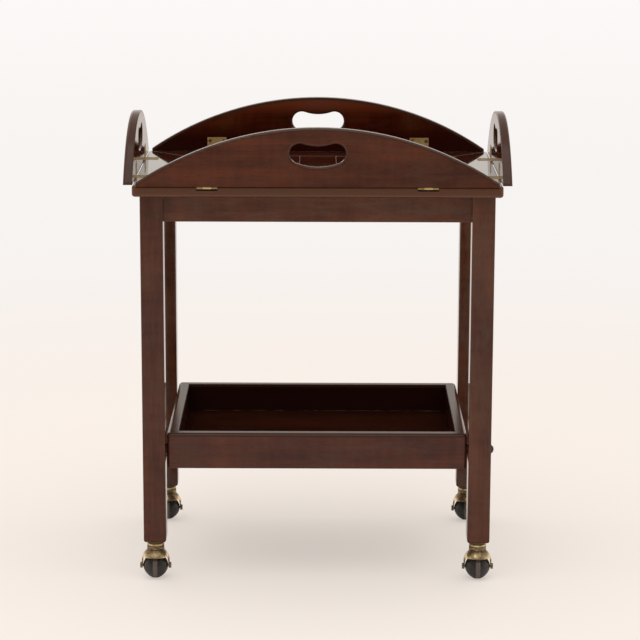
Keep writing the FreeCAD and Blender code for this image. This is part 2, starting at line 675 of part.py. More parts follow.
# A leaf is the top of a large disc with rounded rims, cut off at its foot and its two tips.
def leaf(side):
    half = half_span(side) - LEAF_END_INSET
    inner = leaf_plane(side)
    outer = inner - LEAF_THICK
    rise = LEAF_HEIGHT - LEAF_END_HEIGHT
    bow_radius = (half ** 2 + rise ** 2) / (2 * rise)
    top = LEAF_FOOT + LEAF_HEIGHT
    centre = point(0, outer, top - bow_radius)
    disc = Part.makeCylinder(bow_radius, LEAF_THICK, centre, Y_AXIS)
    disc.rotate(centre, Y_AXIS, 180)
    disc = disc.makeFillet(LEAF_ROUND, rim_edges(disc, outer))
    disc = disc.makeFillet(LEAF_INNER_ROUND, rim_edges(disc, inner))
    shape = disc.common(block(-half, half, outer, inner, LEAF_FOOT, top)).cut(hand_hole(outer))
    mouth = []
    for edge in shape.Edges:
        box = edge.BoundBox
        on_face = box.YLength < FIT_PLAY
        near = max(abs(box.XMin), abs(box.XMax)) < HOLE_HALF_WIDTH + FIT_PLAY
        in_height = box.ZMin > LEAF_FOOT + FIT_PLAY and box.ZMax < LEAF_FOOT + HOLE_LOBE_TOP + FIT_PLAY
        if on_face and near and in_height:
            mouth.append(edge)
    shape = turned(shape.makeFillet(HOLE_ROUND, mouth), side)
    beds = []
    for place in hinge_places(side):
        reach = PLATE_LENGTH / 2
        deep = inner - PLATE_THICK
        bed = block(place - reach, place + reach, deep, inner, LEAF_FOOT, LEAF_FOOT + PLATE_WIDTH)
        beds.append(turned(bed, side))
    holes = leaf_plate_screws(side, plate_screw(FIT_PLAY))
    return shape.cut(Part.makeCompound(beds)).cut(Part.makeCompound(holes))


# A fine vee eases the seams of the top along each line where two of its pieces meet.
def seam_vee(x0, y0, x1, y1):
    across = point(y0 - y1, x1 - x0, 0).normalize() * SEAM_WIDTH
    foot = point(x0, y0, TRAY_TOP - SEAM_DEPTH)
    top = point(x0, y0, TRAY_TOP + SEAM_DEPTH)
    outline = Part.makePolygon([foot, top - across, top + across, foot])
    return Part.Face(outline).extrude(point(x1 - x0, y1 - y0, 0))


def seam_vees():
    found = []
    for sign in (-1, 1):
        found.append(seam_vee(-PANEL_X, sign * PANEL_Y, PANEL_X, sign * PANEL_Y))
        for line in (sign * PANEL_X, sign * CENTRE_BOARD_WIDTH / 2):
            found.append(seam_vee(line, -PANEL_Y, line, PANEL_Y))
    for corner in CORNERS:
        sign_x, sign_y = signs(corner)
        corner_x = sign_x * TRAY_WIDTH / 2
        corner_y = sign_y * TRAY_DEPTH / 2
        found.append(seam_vee(sign_x * PANEL_X, sign_y * PANEL_Y, corner_x, corner_y))
    return found


# Lift-off tray
def tray_cutters():
    found = batten_screws(batten_screw(FIT_PLAY)) + seam_vees()
    for side in SIDES:
        found = found + tray_plate_beds(side) + tray_plate_screws(side, plate_screw(FIT_PLAY))
    return found


def tongue():
    middle = STAND_HEIGHT + TRAY_THICK / 2
    reach_x = PANEL_X + TONGUE_LENGTH
    reach_y = PANEL_Y + TONGUE_LENGTH
    return centred_block(reach_x, reach_y, middle - TONGUE_THICK / 2, middle + TONGUE_THICK / 2)


def tray_board(start_x, end_x):
    slab = centred_block(PANEL_X, PANEL_Y, STAND_HEIGHT, TRAY_TOP).fuse(tongue())
    strip = block(start_x, end_x, -TRAY_DEPTH, TRAY_DEPTH, STAND_HEIGHT, TRAY_TOP)
    shape = slab.common(strip).removeSplitter()
    for cutter in tray_cutters():
        shape = shape.cut(cutter)
    return shape


def tray_edging_frame():
    shape = centred_block(TRAY_WIDTH / 2, TRAY_DEPTH / 2, STAND_HEIGHT, TRAY_TOP)
    shape = shape.makeFillet(TRAY_CORNER_ROUND, upright_edges(shape))
    shape = shape.makeFillet(TRAY_LOWER_ROUND, edges_at_height(shape, STAND_HEIGHT))
    shape = shape.makeFillet(TRAY_UPPER_ROUND, edges_at_height(shape, TRAY_TOP))
    shape = shape.cut(centred_block(PANEL_X, PANEL_Y, STAND_HEIGHT - CUT_MARGIN, TRAY_TOP + CUT_MARGIN))
    shape = shape.cut(tongue())
    for cutter in tray_cutters():
        shape = shape.cut(cutter)
    return shape


def tray_edging(frame, side):
    quarter = mitre_quarter(TRAY_WIDTH / 2, TRAY_DEPTH / 2, EDGING_WIDTH, STAND_HEIGHT, TRAY_TOP, side)
    return frame.common(quarter)


def batten(sign):
    outer = INNER_X - BATTEN_PLAY
    reach = INNER_Y - BATTEN_PLAY
    low = STAND_HEIGHT - BATTEN_HEIGHT
    near = sign * (outer - BATTEN_WIDTH / 2)
    shape = block(near - BATTEN_WIDTH / 2, near + BATTEN_WIDTH / 2, -reach, reach, low, STAND_HEIGHT)
    return shape.cut(Part.makeCompound(batten_screws(batten_screw(FIT_PLAY))))


def batten_screws(shape):
    found = []
    upward = shape.copy()
    upward.rotate(point(0, 0, 0), X_AXIS, 180)
    line = INNER_X - BATTEN_PLAY - BATTEN_WIDTH / 2
    far = INNER_Y - BATTEN_PLAY - BATTEN_SCREW_INSET
    for sign in (-1, 1):
        for place in (-far, 0, far):
            copy = upward.copy()
            copy.translate(point(sign * line, place, STAND_HEIGHT - BATTEN_HEIGHT))
            found.append(copy)
    return found


os.makedirs("parts", exist_ok=True)

# Stand
holes = apron_dowels(FIT_PLAY)
for corner in CORNERS:
    save("leg_" + corner, [leg(*signs(corner), holes)])
for side in SIDES:
    save("apron_" + side, [apron(side, holes)])
save("apron_dowels", apron_dowels(0))
save("corner_blocks", [corner_block(*signs(corner)) for corner in CORNERS])

# Lower tray
frame = shelf_frame()
for side in SIDES:
    save("shelf_wall_" + side, [shelf_wall(frame, side)])
save("shelf_floor", [shelf_floor()])
save("shelf_bolts", [shelf_bolt(*signs(corner)) for corner in CORNERS])
save("shelf_spacers", [shelf_spacer(*signs(corner)) for corner in CORNERS])
save("bolt_plugs", [bolt_plug(*signs(corner)) for corner in CORNERS if corner.endswith("left")])
save("bolt_buttons", [bolt_button(*signs(corner)) for corner in CORNERS if corner.endswith("right")])

# Casters
save("caster_sockets", [caster_socket(*signs(corner)) for corner in CORNERS])
save("caster_stems", [caster_stem(*signs(corner)) for corner in CORNERS])
for corner in CORNERS:
    save("caster_hood_" + corner, [caster_hood(*signs(corner))])
    save("caster_axle_" + corner, [caster_axle(*signs(corner))])
    save("caster_wheel_" + corner, [caster_wheel(*signs(corner))])

# Lift-off tray
half_board = CENTRE_BOARD_WIDTH / 2
save("tray_board_left", [tray_board(-TRAY_WIDTH, -half_board)])
save("tray_board_centre", [tray_board(-half_board, half_board)])
save("tray_board_right", [tray_board(half_board, TRAY_WIDTH)])
frame = tray_edging_frame()
for side in SIDES:
    save("tray_edging_" + side, [tray_edging(frame, side)])
save("tray_battens", [batten(-1), batten(1)])
save("batten_screws", batten_screws(slotted(batten_screw(0))))

# Hinges and leaves
fixing = slotted(plate_screw(0))
plates = []
pins = []
screws = []
for side in SIDES:
    plates = plates + tray_plates(side)
    pins = pins + hinge_pins(side)
    screws = screws + tray_plate_screws(side, fixing)
    save("leaf_" + side, [leaf(side)])
    save("leaf_plates_" + side, leaf_plates(side))
    save("leaf_screws_" + side, leaf_plate_screws(side, fixing))
save("tray_plates", plates)
save("hinge_pins", pins)
save("tray_plate_screws", screws)
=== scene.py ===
import math

import bpy
from mathutils import Matrix, Vector


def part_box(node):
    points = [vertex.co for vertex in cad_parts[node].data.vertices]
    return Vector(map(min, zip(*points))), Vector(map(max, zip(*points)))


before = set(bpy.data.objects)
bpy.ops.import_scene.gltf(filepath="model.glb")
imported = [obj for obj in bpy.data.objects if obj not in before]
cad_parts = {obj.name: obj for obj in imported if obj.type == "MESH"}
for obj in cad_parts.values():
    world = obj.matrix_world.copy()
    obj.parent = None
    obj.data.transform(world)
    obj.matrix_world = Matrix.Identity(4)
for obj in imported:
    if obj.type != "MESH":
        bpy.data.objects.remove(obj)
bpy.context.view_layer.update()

# The legs: four square posts of solid mahogany, planed and sanded with softened arrises.
# They are stained dark red-brown and finished in several flatted and polished coats of lacquer,
# so the grain shows only faintly and the faces mirror what stands beside them.


class Field:
    """A socket of a shader tree; sums, differences and products of fields add Math nodes."""

    def __init__(self, tree, socket):
        self.tree = tree
        self.socket = socket

    def node(self, kind, settings, inputs, output=0):
        """Adds a node, sets its settings and ramp stops, then fills or links its sockets."""
        made = self.tree.nodes.new(kind)
        for key, value in settings.items():
            if key == "stops":
                ramp = made.color_ramp.elements
                while len(ramp) < len(value):
                    ramp.new(1.0)
                for stop, (position, colour) in zip(ramp, value):
                    stop.position = position
                    stop.color = (*colour, 1.0)
            else:
                setattr(made, key, value)
        for key, value in inputs.items():
            if isinstance(value, Field):
                self.tree.links.new(value.socket, made.inputs[key])
            else:
                made.inputs[key].default_value = value
        return Field(self.tree, made.outputs[output])

    def math(self, operation, first, second):
        return self.node("ShaderNodeMath", {"operation": operation}, {0: first, 1: second})

    def __add__(self, other):
        return self.math("ADD", self, other)

    def __radd__(self, other):
        return self.math("ADD", other, self)

    def __sub__(self, other):
        return self.math("SUBTRACT", self, other)

    def __rsub__(self, other):
        return self.math("SUBTRACT", other, self)

    def __mul__(self, other):
        return self.math("MULTIPLY", self, other)

    def __rmul__(self, other):
        return self.math("MULTIPLY", other, self)

    def unsigned(self):
        return self.math("ABSOLUTE", self, 0.0)

    def root(self):
        return self.math("SQRT", self, 0.0)

    def least(self, other):
        return self.math("MINIMUM", self, other)

    def most(self, other):
        return self.math("MAXIMUM", self, other)

    def between(self, low, high):
        """0 below low, 1 above high and a smooth rise between them."""
        return self.node(
            "ShaderNodeMapRange",
            {"interpolation_type": "SMOOTHSTEP"},
            {"Value": self, "From Min": low, "From Max": high},
        )

    def part(self, axis):
        """One coordinate of this place."""
        return self.node("ShaderNodeSeparateXYZ", {}, {"Vector": self}, output=axis)

    def noise(self, scale, location=(0.0, 0.0, 0.0), detail=2.0, roughness=0.5):
        """Noise on this place, with one scale for all directions or one for each."""
        scales = scale if isinstance(scale, tuple) else (scale, scale, scale)
        spread = self.node("ShaderNodeMapping", {}, {"Vector": self, "Location": location, "Scale": scales})
        return spread.node(
            "ShaderNodeTexNoise",
            {},
            {"Vector": spread, "Scale": 1.0, "Detail": detail, "Roughness": roughness},
        )

    def ramp(self, *stops):
        """The colour at this value, from stops of a position and a colour each."""
        return self.node("ShaderNodeValToRGB", {"stops": stops}, {"Fac": self})

    def mix(self, first, second):
        """This share of the second colour over the first; either is a field or three numbers."""
        pair = [colour if isinstance(colour, Field) else (*colour, 1.0) for colour in (first, second)]
        return self.node("ShaderNodeMix", {"data_type": "RGBA"}, {0: self, 6: pair[0], 7: pair[1]}, output=2)

    def bump(self, strength, distance):
        """The normal of a surface that is raised by this height."""
        return self.node("ShaderNodeBump", {}, {"Height": self, "Strength": strength, "Distance": distance})


def new_finish(name):
    """A material, the place on the object that its patterns read, and its shader."""
    material = bpy.data.materials.new(name)
    material.use_nodes = True
    tree = material.node_tree
    place = Field(tree, tree.nodes.new("ShaderNodeTexCoord").outputs["Object"])
    return material, place, tree.nodes["Principled BSDF"]


def feed(shader, **fields):
    """Links fields to the shader's sockets, with _ for a space in a socket's name."""
    for key, field in fields.items():
        field.tree.links.new(field.socket, shader.inputs[key.replace("_", " ")])


def dress(material, *names):
    """Gives CAD nodes a finish."""
    for name in names:
        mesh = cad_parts[name].data
        mesh.materials.clear()
        mesh.materials.append(material)


PATCH_ALONG = 7.0
PATCH_ACROSS = 26.0
PATCH_WEIGHT = 0.42
RIBBON_ALONG = 2.4
RIBBON_ACROSS = 60.0
RIBBON_WEIGHT = 0.24
STREAK_ALONG = 16.0
STREAK_ACROSS = 420.0
STREAK_WEIGHT = 0.16
WISP_ALONG = 70.0
WISP_ACROSS = 14.0
WISP_WEIGHT = 0.18
CLOUD_SCALE = 9.0
BLOOM_ALONG = 26.0
BLOOM_ACROSS = 85.0
BLOOM_SHARE = 0.6
BLOOM_HUE = (0.95, 1.75, 2.6)
PORE_ALONG = 90.0
PORE_ACROSS = 1500.0
PORE_SHARE = 0.45
PORE_DARK = 0.35
LACQUER_IOR = 1.36
LACQUER_ROUGH = 0.035
LACQUER_RIPPLE = 260.0
WORN_ROUGH = 0.14


def stretched(grain, along, across):
    """Scales for X, Y and Z that stretch a pattern along the grain."""
    return tuple(along if axis == grain else across for axis in "XYZ")


def mahogany(name, grain, shift, tones, touches=(), coat=0.0):
    """Lacquered mahogany: slow patches, ribbons, fine streaks and short dark pores along the grain.

    Patch, ribbon, streak and cross wisps add up to a tone that runs from deep over mid to warm, and a bloom
    in the lacquer drifts it to a browner hue. Pores darken it a little. The shift picks the place in the
    pattern that a piece is cut from. Each touch is a share by place and its colour, and the surface is
    duller there. The coat is a last hard polish over the lacquer."""
    deep, mid, warm = tones
    material, place, shader = new_finish(name)
    patch = place.noise(stretched(grain, PATCH_ALONG, PATCH_ACROSS), shift, detail=2.0)
    ribbon = place.noise(stretched(grain, RIBBON_ALONG, RIBBON_ACROSS), shift, detail=3.0, roughness=0.55)
    streak = place.noise(stretched(grain, STREAK_ALONG, STREAK_ACROSS), shift, detail=2.0, roughness=0.6)
    wisp = place.noise(stretched(grain, WISP_ALONG, WISP_ACROSS), shift, detail=2.0)
    cloud = place.noise(CLOUD_SCALE, shift, detail=2.0)
    bloom = place.noise(stretched(grain, BLOOM_ALONG, BLOOM_ACROSS), shift, detail=4.0, roughness=0.62)
    pore = place.noise(stretched(grain, PORE_ALONG, PORE_ACROSS), shift, detail=1.0).between(0.6, 0.72)
    tone = patch * PATCH_WEIGHT + ribbon * RIBBON_WEIGHT + streak * STREAK_WEIGHT + wisp * WISP_WEIGHT
    colour = tone.ramp((0.40, deep), (0.5, mid), (0.60, warm))
    brown = [part * more for part, more in zip(mid, BLOOM_HUE)]
    colour = ((bloom * 0.7 + cloud * 0.3).between(0.42, 0.66) * BLOOM_SHARE).mix(colour, brown)
    colour = (pore * PORE_SHARE).mix(colour, [part * PORE_DARK for part in deep])
    rough = LACQUER_ROUGH + cloud * 0.04 + pore * 0.05
    for share, touch in touches:
        worn = share(place)
        colour = worn.mix(colour, touch)
        rough = rough + worn * WORN_ROUGH
    level = place.noise(LACQUER_RIPPLE, shift, detail=1.0) * 0.6 + streak * 0.4
    bump = (level - pore * 0.5).bump(strength=0.02, distance=0.0003)
    shader.inputs["IOR"].default_value = LACQUER_IOR
    shader.inputs["Coat Weight"].default_value = coat
    feed(shader, Base_Color=colour, Roughness=rough, Normal=bump)
    return material


ARRIS_START = 0.0002
ARRIS_REACH = 0.0024
ARRIS_PATCHES = 30.0
ARRIS_TONE = (0.150, 0.0620, 0.0300)


def arris(name, axes):
    """Wear along the long arrises of a CAD node, where a point nears the node's box in both of two axes."""
    low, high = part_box(name)

    def share(place):
        past = []
        for axis in axes:
            number = "XYZ".index(axis)
            middle = (low[number] + high[number]) / 2
            flat = (high[number] - low[number]) / 2 - ARRIS_REACH
            past.append((place.part(axis) - middle).unsigned() - flat)
        patchy = place.noise(ARRIS_PATCHES).between(0.35, 0.65)
        return past[0].least(past[1]).between(ARRIS_START, ARRIS_REACH) * (0.35 + patchy * 0.5)

    return share


CORNERS = ("front_left", "front_right", "back_left", "back_right")
# The back legs' tones are lighter and greyer than the front legs': painted light that lifts the shade the
# tray casts on them.
LEG_TONES = {
    "front_left": ((0.051, 0.0110, 0.0040), (0.081, 0.0196, 0.0072), (0.115, 0.0320, 0.0128)),
    "front_right": ((0.060, 0.0140, 0.0053), (0.095, 0.0250, 0.0098), (0.132, 0.0395, 0.0165)),
    "back_left": ((0.060, 0.0190, 0.0090), (0.094, 0.0330, 0.0165), (0.128, 0.0480, 0.0250)),
    "back_right": ((0.088, 0.0290, 0.0145), (0.134, 0.0490, 0.0260), (0.176, 0.0700, 0.0385)),
}
for turn, corner in enumerate(CORNERS):
    touches = ((arris("leg_" + corner, "XY"), ARRIS_TONE),)
    post = mahogany("leg_" + corner, "Z", (turn * 3.1, turn * 1.7, 0.4), LEG_TONES[corner], touches)
    dress(post, "leg_" + corner)

# The aprons: four mahogany rails doweled between the legs under the tray, set back from the posts' faces.
# Beech dowels and softwood corner blocks inside hold the frame square; they are left unpolished.

SIDES = ("front", "right", "back", "left")
GRAIN_OF_SIDE = {"front": "X", "back": "X", "right": "Y", "left": "Y"}
ARRIS_AXES = {"X": "YZ", "Y": "XZ"}
# The aprons' tones are lighter than the legs': painted light that lifts the shade under the tray.
APRON_TONES = ((0.082, 0.0195, 0.0075), (0.124, 0.0335, 0.0135), (0.168, 0.0510, 0.0225))
for turn, side in enumerate(SIDES):
    grain = GRAIN_OF_SIDE[side]
    touches = ((arris("apron_" + side, ARRIS_AXES[grain]), ARRIS_TONE),)
    rail = mahogany("apron_" + side, grain, (turn * 2.3, 5.0 + turn, 1.9), APRON_TONES, touches)
    dress(rail, "apron_" + side)

BAND_ALONG = 3.0
BAND_ACROSS = 70.0
FIBRE_ALONG = 20.0
FIBRE_ACROSS = 600.0
BARE_PALE = (0.42, 0.25, 0.13)
BARE_BROWN = (0.27, 0.145, 0.07)


def bare_timber(name, grain, shift):
    """Unpolished timber: soft bands and streaks along the grain, matt all over."""
    material, place, shader = new_finish(name)
    band = place.noise(stretched(grain, BAND_ALONG, BAND_ACROSS), shift, detail=3.0)
    streak = place.noise(stretched(grain, FIBRE_ALONG, FIBRE_ACROSS), shift, detail=2.0)
    bump = streak.bump(strength=0.2, distance=0.0003)
    colour = (band * 0.6 + streak * 0.4).ramp((0.35, BARE_BROWN), (0.65, BARE_PALE))
    feed(shader, Base_Color=colour, Roughness=0.55 + streak * 0.2, Normal=bump)
    return material


dress(bare_timber("beech_dowels", "X", (0.3, 0.8, 0.1)), "apron_dowels")
dress(bare_timber("corner_softwood", "Z", (1.3, 0.2, 0.7)), "corner_blocks")

# The lower tray: four mahogany walls mitred at the corners with rounded rims, and a thin floor held in
# a groove all round. Bolts through the legs carry it, with a dark fibre washer between leg and wall.

SHELF_TONES = ((0.051, 0.0094, 0.0033), (0.081, 0.0168, 0.0060), (0.112, 0.0270, 0.0105))
# The lower tray's floor tones are very dark: painted shade under the tray, also laid on the inner faces of
# the walls.
SHADED_FLOOR_TONES = ((0.022, 0.0040, 0.0016), (0.034, 0.0068, 0.0028), (0.050, 0.0112, 0.0048))
EDGE_TONE = (0.064, 0.0280, 0.0170)
RIM_DEPTH = 0.0062
RIM_FULL_DEPTH = 0.0048
GROOVE_DEPTH = 0.0050
WALL_SKIN = 0.0005
shelf_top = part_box("shelf_wall_front")[1].z
floor_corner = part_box("shelf_floor")[1]


def rim_share(place):
    """1 over the rounded rim of the walls, by height."""
    return place.part("Z").between(shelf_top - RIM_DEPTH, shelf_top - RIM_FULL_DEPTH)


def shaded_inside_share(place):
    """1 on the inner faces of the walls, which take the floor's dark tone as painted shade, by distance from
    the edge of the floor in its groove.
    """
    across = place.part("X").unsigned() - floor_corner.x
    along = place.part("Y").unsigned() - floor_corner.y
    return 1.0 - across.most(along).between(-GROOVE_DEPTH, WALL_SKIN - GROOVE_DEPTH)


for turn, side in enumerate(SIDES):
    shift = (turn * 1.9, 2.0 + turn, 7.7)
    touches = ((shaded_inside_share, SHADED_FLOOR_TONES[1]), (rim_share, EDGE_TONE))
    wall = mahogany("shelf_wall_" + side, GRAIN_OF_SIDE[side], shift, SHELF_TONES, touches)
    dress(wall, "shelf_wall_" + side)

# A painted reflection: a thin pale line along the back of the lower tray's floor.
FLOOR_LINE_REFLECTION = (0.42, 0.280, 0.205)
REFLECTION_SETBACK = 0.0074
REFLECTION_HALF = 0.0006
REFLECTION_FADE = 0.0014
REFLECTION_PATCHES = 40.0


def painted_reflection_line(place):
    """A thin pale line where the floor meets the back wall: a painted reflection."""
    off = (place.part("Y") - (floor_corner.y - REFLECTION_SETBACK)).unsigned()
    return (1.0 - off.between(REFLECTION_HALF, REFLECTION_FADE)) * place.noise(REFLECTION_PATCHES).between(0.3, 0.7)


# The floor of the lower tray is painted dark as the shade under the tray.
base = mahogany("shelf_floor", "X", (4.4, 1.2, 3.0), SHADED_FLOOR_TONES, ((painted_reflection_line, FLOOR_LINE_REFLECTION),))
dress(base, "shelf_floor")

STEEL_DULL = (0.36, 0.36, 0.35)
STEEL_BRIGHT = (0.58, 0.58, 0.57)
STEEL_HAZE = 180.0
TURNING_LINES = (30.0, 2200.0, 2200.0)


def plated_steel(name):
    """Bright plated steel: fine turning lines round the axis and a few dull spots."""
    material, place, shader = new_finish(name)
    haze = place.noise(STEEL_HAZE, detail=3.0)
    bump = place.noise(TURNING_LINES, detail=1.0).bump(strength=0.1, distance=0.0001)
    shader.inputs["Metallic"].default_value = 1.0
    colour = haze.ramp((0.3, STEEL_DULL), (0.7, STEEL_BRIGHT))
    feed(shader, Base_Color=colour, Roughness=0.22 + haze * 0.2, Normal=bump)
    return material


dress(plated_steel("plated_steel"), "shelf_bolts", "caster_stems", "batten_screws")

FIBRE_DARK = (0.008, 0.006, 0.005)
FIBRE_GREY = (0.030, 0.022, 0.018)
FIBRE_FLECKS = 900.0


def dark_fibre(name):
    """Pressed dark fibre: a matt mottle of short flecks."""
    material, place, shader = new_finish(name)
    fleck = place.noise(FIBRE_FLECKS, detail=2.0)
    bump = fleck.bump(strength=0.3, distance=0.0002)
    colour = fleck.ramp((0.35, FIBRE_DARK), (0.7, FIBRE_GREY))
    feed(shader, Base_Color=colour, Roughness=0.6 + fleck * 0.2, Normal=bump)
    return material


dress(dark_fibre("washer_fibre"), "shelf_spacers")

# The bolt covers: turned wooden buttons, domed and stained darker than the posts on the right legs, and
# plugs cut flush on the left ones. Both are pressed into the counterbores over the bolt heads.

BUTTON_TONES = ((0.018, 0.0050, 0.0028), (0.030, 0.0085, 0.0050), (0.046, 0.0140, 0.0080))
dress(mahogany("turned_buttons", "Y", (0.6, 0.6, 0.2), BUTTON_TONES), "bolt_buttons")
dress(mahogany("flush_plugs", "Z", (2.6, 0.1, 0.9), LEG_TONES["front_left"]), "bolt_plugs")

# The casters: cast brass hoods with a swivel neck over charcoal ball wheels on a riveted axle. The brass is
# antiqued, dark in the hollows of its hammered skin and rubbed bright along its lower edge and the ring
# round its neck.

BRASS_BRIGHT = (0.84, 0.66, 0.38)
BRASS_AGED = (0.36, 0.255, 0.135)
BRASS_DARK = (0.115, 0.081, 0.043)
DIMPLE_SCALE = 320.0
PATINA_SCALE = 170.0
SPECK_SCALE = 620.0
EAR_TOP = 0.034
HOOD_EDGE = 0.0385
HOOD_SHOULDER = 0.050
HOOD_WEAR = 0.06
RING_FOOT = 0.0570
RING_FADE = 0.0012
RING_TOP = 0.0600
FLANGE_FOOT = 0.0610
FLANGE_RUBBED_TOP = 0.0620
FLANGE_PAINTED_SHADE = -0.35


def antique_brass(name, shift, wear_and_shade, dull, rubbed, shoulder):
    """Hammered brass under a dark patina, rubbed bright from one height in metres and fading to another.

    Dimples come from cells, patina from noise, and the rub from the point's height: none below the dull
    level, all of it at the rubbed level, none again above the shoulder. The ring round the neck is rubbed
    too. A positive wear_and_shade lifts it all as wear, and a negative one lowers it all as painted shade."""
    material, place, shader = new_finish(name)
    dimple = place.node(
        "ShaderNodeTexVoronoi",
        {"feature": "SMOOTH_F1"},
        {"Vector": place, "Scale": DIMPLE_SCALE, "Smoothness": 0.6},
    )
    patina = place.noise(PATINA_SCALE, shift, detail=4.0, roughness=0.6)
    speck = place.noise(SPECK_SCALE, shift, detail=3.0)
    height = place.part("Z")
    rub = height.between(dull, rubbed) * (1.0 - height.between(rubbed, shoulder))
    ring = height.between(RING_FOOT, RING_FOOT + RING_FADE) * (1.0 - height.between(RING_TOP, FLANGE_FOOT))
    bright = (patina * 0.65 + rub * 0.36 + ring * 0.22 + speck * 0.30 + wear_and_shade).between(0.32, 0.98)
    colour = bright.ramp((0.0, BRASS_DARK), (0.45, BRASS_AGED), (1.0, BRASS_BRIGHT))
    bump = (dimple * 0.7 + speck * 0.3).bump(strength=0.35, distance=0.0006)
    rough = 0.44 - bright * 0.22
    feed(shader, Base_Color=colour, Metallic=0.75 + bright * 0.25, Roughness=rough, Normal=bump)
    return material


for turn, corner in enumerate(CORNERS):
    shift = (turn * 0.7, 0.2, turn * 0.3)
    hood = antique_brass("hood_brass_" + corner, shift, HOOD_WEAR, EAR_TOP, HOOD_EDGE, HOOD_SHOULDER)
    dress(hood, "caster_hood_" + corner, "caster_axle_" + corner)
# The socket brass is lowered by a negative wear_and_shade: painted shade on the flange under the leg.
shift = (0.5, 0.9, 0.1)
collar = antique_brass("socket_brass", shift, FLANGE_PAINTED_SHADE, FLANGE_FOOT, FLANGE_FOOT, FLANGE_RUBBED_TOP)
dress(collar, "caster_sockets")

BALL_DARK = (0.012, 0.0092, 0.0076)
BALL_GREY = (0.029, 0.0225, 0.0185)
BALL_TREAD_HIGHLIGHT = (0.230, 0.1880, 0.1600)
BALL_MOTTLE = 220.0
TREAD_SCUFFS = (1400.0, 160.0, 160.0)
TREAD_HALF = 0.0026
TREAD_FADE = 0.0022


def charcoal_ball(name, shift, middle):
    """Moulded charcoal composition: a satin skin, and a tread round its middle painted paler as a highlight,
    broken by scuffs.
    """
    material, place, shader = new_finish(name)
    mottle = place.noise(BALL_MOTTLE, shift, detail=3.0)
    scuff = place.noise(TREAD_SCUFFS, shift, detail=2.0).between(0.5, 0.75)
    off_middle = (place.part("X") - middle).unsigned()
    tread = 1.0 - off_middle.between(TREAD_HALF, TREAD_HALF + TREAD_FADE)
    # The paler band round the tread is a painted highlight.
    rub = tread * (0.45 + scuff * 0.55)
    colour = rub.mix(mottle.ramp((0.3, BALL_DARK), (0.75, BALL_GREY)), BALL_TREAD_HIGHLIGHT)
    bump = (mottle + scuff * tread).bump(strength=0.12, distance=0.0003)
    feed(shader, Base_Color=colour, Roughness=0.3 + mottle * 0.12 + rub * 0.2, Normal=bump)
    return material


for turn, corner in enumerate(CORNERS):
    low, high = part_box("caster_wheel_" + corner)
    ball = charcoal_ball("ball_" + corner, (turn * 0.4, 0.1, 0.6), (low.x + high.x) / 2)
    dress(ball, "caster_wheel_" + corner)

# The lift-off tray: three mahogany boards tongued into a mitred frame, rounded along its outer edges and
# polished to a mirror on top, with two plain battens screwed below that drop inside the aprons. The pale
# lines along the seams are painted highlight; the rounded edge is a shade lighter and browner than the top.

TRAY_TONES = ((0.030, 0.0058, 0.0024), (0.048, 0.0104, 0.0042), (0.070, 0.0172, 0.0075))
TRAY_EDGE_TONE = (0.105, 0.0285, 0.0045)
TRAY_EDGE_START = 0.0008
TRAY_EDGE_FULL = 0.0030
TRAY_ROUND = 0.0045
TRAY_COAT = 0.4
# The pale seam lines are a painted highlight.
SEAM_HIGHLIGHT = (0.30, 0.22, 0.17)
SEAM_HALF = 0.0005
SEAM_FADE = 0.0009
SEAM_SHARE = 0.8
tray_corner = Vector((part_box("tray_edging_right")[1].x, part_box("tray_edging_back")[1].y))
panel_corner = Vector((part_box("tray_edging_right")[0].x, -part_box("tray_edging_front")[1].y))
centre_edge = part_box("tray_board_centre")[1].x


def line_share(off):
    """A soft line where a distance is nought."""
    return (1.0 - off.unsigned().between(SEAM_HALF, SEAM_FADE)) * SEAM_SHARE


def board_seams(place):
    """Pale lines at the long seams of the centre board and round the boards."""
    x = place.part("X").unsigned()
    y = place.part("Y").unsigned()
    around = line_share(x - panel_corner.x).most(line_share(y - panel_corner.y))
    return around.most(line_share(x - centre_edge))


def frame_seams(grain):
    """Pale lines along the inner edge of a side of the frame, by its grain, and along its mitres."""

    def share(place):
        x = place.part("X").unsigned() - panel_corner.x
        y = place.part("Y").unsigned() - panel_corner.y
        edge = line_share(y if grain == "X" else x)
        return edge.most(line_share((x - y) * math.sqrt(0.5)))

    return share


def outer_edge(place):
    """1 on the rounded outer edge of the frame, by distance past the flat of the top."""
    x = place.part("X").unsigned() - (tray_corner.x - TRAY_ROUND)
    y = place.part("Y").unsigned() - (tray_corner.y - TRAY_ROUND)
    return x.most(y).between(TRAY_EDGE_START, TRAY_EDGE_FULL)


for turn, name in enumerate(("left", "centre", "right")):
    touches = ((board_seams, SEAM_HIGHLIGHT),)
    board = mahogany("tray_board_" + name, "X", (turn * 5.3, 1.1, 0.2), TRAY_TONES, touches, TRAY_COAT)
    dress(board, "tray_board_" + name)
for turn, side in enumerate(SIDES):
    grain = GRAIN_OF_SIDE[side]
    shift = (turn * 2.9, 0.5 + turn, 4.1)
    touches = ((frame_seams(grain), SEAM_HIGHLIGHT), (outer_edge, TRAY_EDGE_TONE))
    edging = mahogany("tray_edging_" + side, grain, shift, TRAY_TONES, touches, TRAY_COAT)
    dress(edging, "tray_edging_" + side)
dress(bare_timber("batten_timber", "Y", (0.9, 0.3, 0.5)), "tray_battens")

# The hinges: eight pairs of brass plates let in flush, with three knuckles on a pin that lies in the gap
# between tray and leaf, held by slotted countersunk screws.

PLATE_PALE = (0.95, 0.68, 0.30)
PLATE_BROWN = (0.60, 0.39, 0.145)
